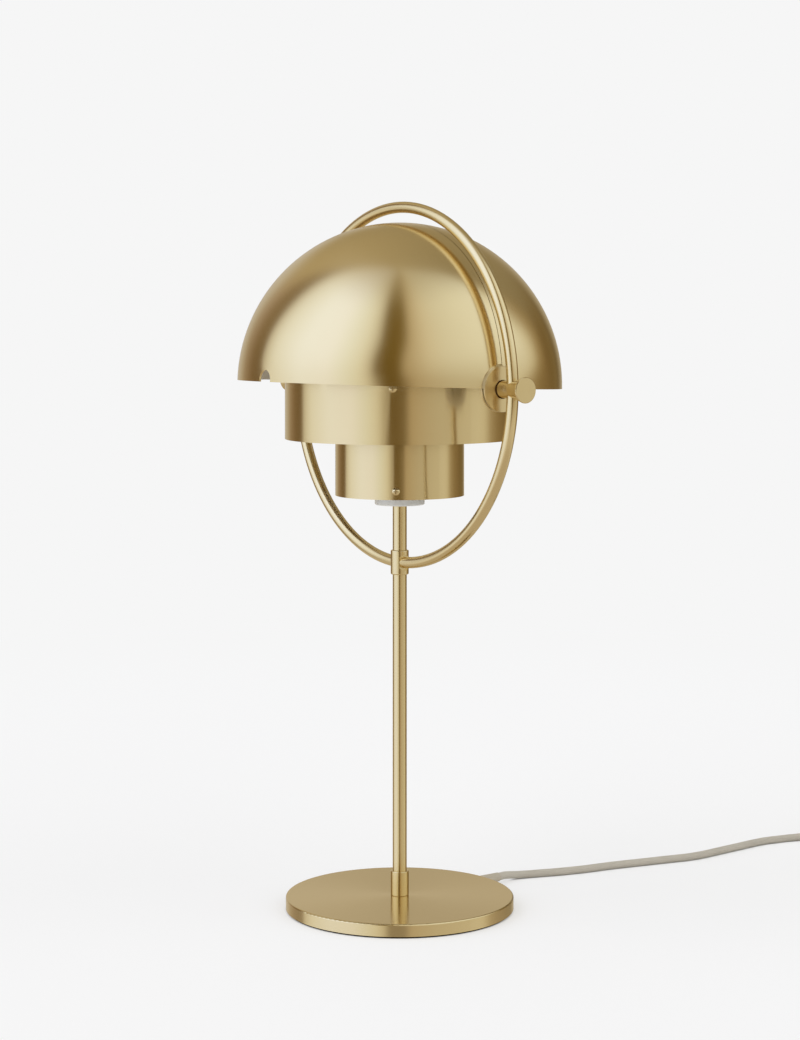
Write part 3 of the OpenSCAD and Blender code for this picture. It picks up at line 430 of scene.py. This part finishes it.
dress("base_cover pole_collar pole_lower ring_connector pole_upper inner_cylinder outer_band "
      "cylinder_bracket screw_shell", brass("brass_turned", roughness=0.205, anisotropy=0.75))
dress("ring", brass(
    "brass_rod", roughness=0.18, anisotropy=0.3, axis="Y", across=0.25, relief=0.01))
dress("right_pivot_post left_pivot_post right_knob left_knob", brass(
    "brass_pivot", roughness=0.2, anisotropy=0.3, axis="X"))
dress("band_spacers bracket_screws band_screws spacer_screws", brass(
    "brass_screw", roughness=0.25, anisotropy=0.0))
dress("front_shade rear_shade", shade_metal())

# ---------------------------------------------------------------- other materials

EXIT_TURN = math.radians(7.4)       # round the pole, of the way that the cord takes out of the base
FINE_DEPTH = 0.0001                 # of the relief of moulded surfaces and of insulation


def plain(name, light, dark, roughness, grain, bump, metallic=0.0, **extra):
    """A moulded, cast or plated surface: two close tones in a fine grain, counted to the metre,
    and a grain twelve times as broad, with a light relief."""
    n = Nodes(name)
    place = n.add("TexCoord").outputs["Object"]
    fine = n.noise(place, grain, detail=3)
    broad = n.noise(place, grain / 12)
    values = {
        "Base Color": n.mix(n.weigh((fine, 0.6), (broad, 0.4)), dark, light),
        "Metallic": metallic, "Roughness": n.vary(roughness, 0.12, broad),
        "Normal": n.bump(fine, bump, FINE_DEPTH),
    }
    values.update({key.replace("_", " "): value for key, value in extra.items()})
    return n.surface(n.add("BsdfPrincipled", values))


def wires():
    """Two insulated wires, one brown and one blue, on either side of the middle."""
    n = Nodes("insulated_wires")
    place = n.add("TexCoord").outputs["Object"]
    across = (math.cos(EXIT_TURN), math.sin(EXIT_TURN), 0)
    side = n.math("GREATER_THAN", n.vector("DOT_PRODUCT", place, across), 0.0)
    colour = n.mix(side, srgb(96, 62, 40), srgb(52, 88, 140))
    grain = n.noise(place, 1500)
    return n.surface(n.add("BsdfPrincipled", {
        "Base Color": n.mix(n.math("MULTIPLY", grain, 0.3), colour, srgb(150, 150, 150)),
        "Roughness": 0.45, "Normal": n.bump(grain, 0.1, FINE_DEPTH),
    }))


def strap():
    """A woven strap with small hooks: a fine cross weave."""
    n = Nodes("woven_strap")
    place = n.add("TexCoord").outputs["Object"]
    weave = n.add("TexWave", {"Vector": place, "Scale": 420.0, "Distortion": 0.6, "Detail": 1.0},
                  bands_direction="DIAGONAL").outputs["Fac"]
    fluff = n.noise(place, 2500)
    return n.surface(n.add("BsdfPrincipled", {
        "Base Color": n.mix(fluff, srgb(24, 24, 25), srgb(46, 45, 45)),
        "Roughness": 0.9, "Sheen Weight": 0.3,
        "Normal": n.bump(n.math("ADD", weave, fluff), strength=0.5, distance=0.0002),
    }))


dress("base_nut base_washer collar_grub_screw flat_washers spring_washers pivot_bolts", plain(
    "plated_steel", srgb(205, 205, 207), srgb(180, 180, 182),
    roughness=0.32, grain=1500, bump=0.08, metallic=1.0))
dress("plug_pins bulb_cap", plain(
    "nickel", srgb(214, 212, 205), srgb(190, 188, 180),
    roughness=0.25, grain=1200, bump=0.06, metallic=1.0))
dress("centre_contact", plain(
    "copper", srgb(205, 140, 105), srgb(180, 118, 85),
    roughness=0.35, grain=1500, bump=0.1, metallic=1.0))
dress("base_weight", plain(
    "cast_iron", srgb(72, 72, 74), srgb(52, 52, 54), roughness=0.7, grain=420, bump=0.5))
dress("base_pad", plain(
    "base_rubber", srgb(16, 14, 12), srgb(8, 7, 6),
    roughness=0.9, grain=1400, bump=0.4, Specular_IOR_Level=0.0))
dress("holder_cap lampholder_body", plain(
    "white_plastic", srgb(236, 235, 230), srgb(228, 227, 221),
    roughness=0.28, grain=700, bump=0.04, Coat_Weight=0.2))
dress("terminal_block", plain(
    "ceramic", srgb(240, 238, 232), srgb(226, 223, 214), roughness=0.3, grain=500, bump=0.15))
dress("bulb_glass", plain(
    "opal_glass", srgb(246, 245, 240), srgb(240, 238, 232),
    roughness=0.3, grain=300, bump=0.02, Coat_Weight=0.3))
# Nylon bushes and washers, dark brown rather than black: painted shade round the pivot posts, with
# a painted reflection of the brass's tint.
dress("pivot_bushes friction_washers", plain(
    "nylon_painted_shade", srgb(80, 52, 24), srgb(58, 36, 15),
    roughness=0.8, grain=1600, bump=0.1, Specular_IOR_Level=0.02))
dress("switch_base switch_cover switch_rocker plug_body", plain(
    "black_plastic", srgb(44, 42, 39), srgb(32, 30, 28),
    roughness=0.42, grain=1300, bump=0.25, Specular_Tint=(1.0, 0.88, 0.74, 1)))
dress("strain_relief", plain(
    "relief_rubber", srgb(192, 182, 163), srgb(172, 162, 143),
    roughness=0.6, grain=1300, bump=0.2))
dress("lead_wires", wires())
dress("coil_tie", strap())

# ---------------------------------------------------------------- studio

# The studio is a world of soft panels, which the metal mirrors: a wide bright one on the camera's
# left, a dimmer one on its right, dark gaps between, and a pale backdrop behind.  Azimuth 0 is the
# lamp's front, -Y, and 90 is +X.  Each stop is an azimuth and a colour at the horizon.
PANELS = [
    (-180, (0.235, 0.165, 0.08)), (-170, (0.20, 0.14, 0.06)), (-162, (0.24, 0.18, 0.09)),
    (-156, (0.18, 0.13, 0.065)), (-150, (0.36, 0.31, 0.22)), (-140, (0.52, 0.47, 0.38)),
    (-119, (0.66, 0.62, 0.57)), (-106, (0.61, 0.57, 0.52)), (-98, (0.55, 0.50, 0.43)),
    (-89, (0.38, 0.30, 0.22)), (-80, (0.27, 0.19, 0.12)), (-72, (0.19, 0.125, 0.06)),
    (-61.5, (0.17, 0.11, 0.05)), (-57, (0.66, 0.63, 0.57)), (-45, (0.85, 0.88, 0.92)),
    (-20, (0.94, 1.01, 1.19)), (5, (0.93, 0.98, 1.14)), (20, (0.83, 0.87, 0.89)),
    (31, (0.77, 0.76, 0.69)), (38, (0.61, 0.56, 0.45)), (43, (0.125, 0.07, 0.0)),
    (58.5, (0.13, 0.075, 0.005)), (64.5, (0.44, 0.345, 0.21)), (90, (0.50, 0.44, 0.32)),
    (124, (0.57, 0.52, 0.40)), (137, (0.64, 0.60, 0.49)), (146, (0.62, 0.57, 0.44)),
    (156, (0.35, 0.27, 0.15)), (168, (0.26, 0.185, 0.085)), (180, (0.235, 0.165, 0.08)),
]
# By azimuth: how far a panel's sides step outwards above the horizon, in degrees, how high it
# reaches, as the sine of the elevation, and how much brighter it is above than at the horizon.
SHAPE = [
    (-180, 0, 0.35, 0.0), (-120, 3, 0.35, 0.0), (-85, 3, 0.50, 0.35), (-68, 3, 0.82, 0.35),
    (-60, 3, 0.93, 0.12), (30, 7, 0.94, 0.15), (62, 7, 0.95, 0.30), (75, 3, 0.97, 0.58),
    (120, 0, 0.95, 0.58), (150, -18, 0.88, 0.45), (180, -18, 0.45, 0.0),
]
LEAN_SPAN = 200                     # degrees of that step that a colour from 0 to 1 can hold
RISE = (1.0, 1.4, 2.4)              # the gain above, by colour
CEILING = (0.41, 0.35, 0.235)
CEILING_SIDE = (-0.30, -0.40, 0)    # the ceiling is lighter towards the wide panel
BELOW = (0.78, 0.74, 0.66, 1)       # what metal mirrors of the floor far from the lamp
DEEP = (0.53, 0.46, 0.36, 1)        # and of the floor close to it

# Where each change begins and ends, by the sine of the elevation.
STEP_OUT = (0.0, 0.15)              # the panels' sides step outwards
STEP_BACK = (0.25, 0.60)            # and come back, to the share that is left of that step
STEP_LEFT = 0.3
CLIMB = (-0.1, 0.4)                 # the panels grow brighter
TO_CEILING = (-0.15, 0.17)          # they pass into the ceiling, counted from their reach
TO_BELOW = (-0.08, -0.60)           # and into the floor
TO_DEEP = (-0.30, -0.62)

WHITE = 0.9216                      # sRGB 246
MATT_LIGHT = (0.58, 0.58, 0.58)     # matt surfaces get this sum of the studio's colours, as grey

FLOOR_R = 1.5
FLOOR_SIDES = 96
FLOOR_RIM = (0.55, 0.95)            # of the radius, where it turns into the backdrop's white
FLOOR_OWN = (0.470, 0.467, 0.462, 1)    # part of the floor's white that is its own
FLOOR_LIT = 0.5                     # the part that is lit, as seen
FLOOR_BOUNCE = 0.9                  # and as it throws light up at the lamp
FLOOR_GAP = 0.0015                  # under what stands on it, where its own part fades


def build_world():
    """The panels, ceiling and floor for metal, their grey for matt surfaces, and plain white for
    the camera."""
    world = bpy.data.worlds.new("studio")
    scene.world = world
    world.use_nodes = True
    n = Nodes(tree=world.node_tree)
    direction = n.add("TexCoord").outputs["Generated"]
    x, y, z = n.add("SeparateXYZ", {0: direction}).outputs
    turn = n.math("MULTIPLY_ADD", n.math("ARCTAN2", x, n.math("MULTIPLY", y, -1.0)),
                  1 / (2 * math.pi), 0.5)

    def turn_of(azimuth):
        return (azimuth + 180) / 360

    shape = n.ramp(turn, [(turn_of(a), (0.5 + lean / LEAN_SPAN, reach, rise, 1))
                          for a, lean, reach, rise in SHAPE])
    lean, reach, rise = n.add("SeparateColor", {0: shape}).outputs
    stepped = n.math("MULTIPLY", n.change(z, *STEP_OUT), n.change(z, *STEP_BACK, 1.0, STEP_LEFT))
    shift = n.math("MULTIPLY", n.math(
        "MULTIPLY_ADD", lean, LEAN_SPAN / 360, -LEAN_SPAN / 2 / 360), stepped)
    panels = n.ramp(n.math("ADD", turn, shift), [(turn_of(a), (*c, 1)) for a, c in PANELS])
    gain = n.scale(RISE, n.math("MULTIPLY", n.change(z, *CLIMB), rise))
    panels = n.vector("MULTIPLY", panels, n.vector("ADD", gain, (1, 1, 1)))

    side = n.vector("DOT_PRODUCT", direction, CEILING_SIDE)
    ceiling = n.scale(CEILING, n.math("ADD", side, 1.0))
    studio = n.mix(n.change(n.math("SUBTRACT", z, reach), *TO_CEILING), panels, ceiling)
    studio = n.mix(n.change(z, *TO_BELOW), studio, BELOW)
    studio = n.mix(n.change(z, *TO_DEEP), studio, DEEP)

    paths = n.add("LightPath").outputs
    level = n.vector("DOT_PRODUCT", studio, MATT_LIGHT)
    matt = n.add("CombineXYZ", {0: level, 1: level, 2: level}).outputs[0]
    studio = n.mix(paths["Is Diffuse Ray"], studio, matt)
    studio = n.mix(paths["Is Camera Ray"], studio, grey(WHITE))
    background = n.add("Background", {"Color": studio})
    n.tree.links.new(background.outputs[0], n.add("OutputWorld").inputs[0])


def build_floor():
    """A round pale floor in the backdrop's white.  It keeps the lamp's shadow: part of its
    brightness is its own colour, which fades in the narrow gap where something stands on it, and
    the rest is the studio's light.  Towards its rim it turns into the plain white of the backdrop.
    Metal mirrors the lower part of the studio in its place, and from below it is clear."""
    turns = [2 * math.pi * k / FLOOR_SIDES for k in range(FLOOR_SIDES)]
    mesh = bpy.data.meshes.new("floor")
    mesh.from_pydata([(FLOOR_R * math.cos(a), FLOOR_R * math.sin(a), 0) for a in turns], [],
                     [tuple(range(FLOOR_SIDES))])
    floor = bpy.data.objects.new("floor", mesh)
    scene.collection.objects.link(floor)
    floor.visible_glossy = False
    n = Nodes("floor")
    paths = n.add("LightPath").outputs
    seen = n.math("MAXIMUM", paths["Is Camera Ray"], paths["Is Transmission Ray"])
    away = n.vector("LENGTH", n.add("TexCoord").outputs["Object"])
    rim = n.change(away, *(share * FLOOR_R for share in FLOOR_RIM))
    open_sky = n.add("AmbientOcclusion", {"Distance": FLOOR_GAP}, samples=16).outputs["AO"]
    lit = n.add("BsdfDiffuse", {"Color": n.mix(seen, grey(FLOOR_BOUNCE), grey(FLOOR_LIT))})
    own = n.add("Emission", {"Color": FLOOR_OWN, "Strength": n.math("MULTIPLY", seen, open_sky)})
    near = n.add("AddShader", {0: lit.outputs[0], 1: own.outputs[0]})
    white = n.add("Emission", {"Color": grey(WHITE), "Strength": 1.0})
    top = n.add("MixShader", {
        0: n.math("MULTIPLY", rim, seen), 1: near.outputs[0], 2: white.outputs[0]})
    from_below = n.math("MULTIPLY", n.add("NewGeometry").outputs["Backfacing"], seen)
    mesh.materials.append(n.surface(n.add("MixShader", {
        0: from_below, 1: top.outputs[0], 2: n.add("BsdfTransparent").outputs[0]})))


build_world()
build_floor()
scene.view_settings.view_transform = "Standard"
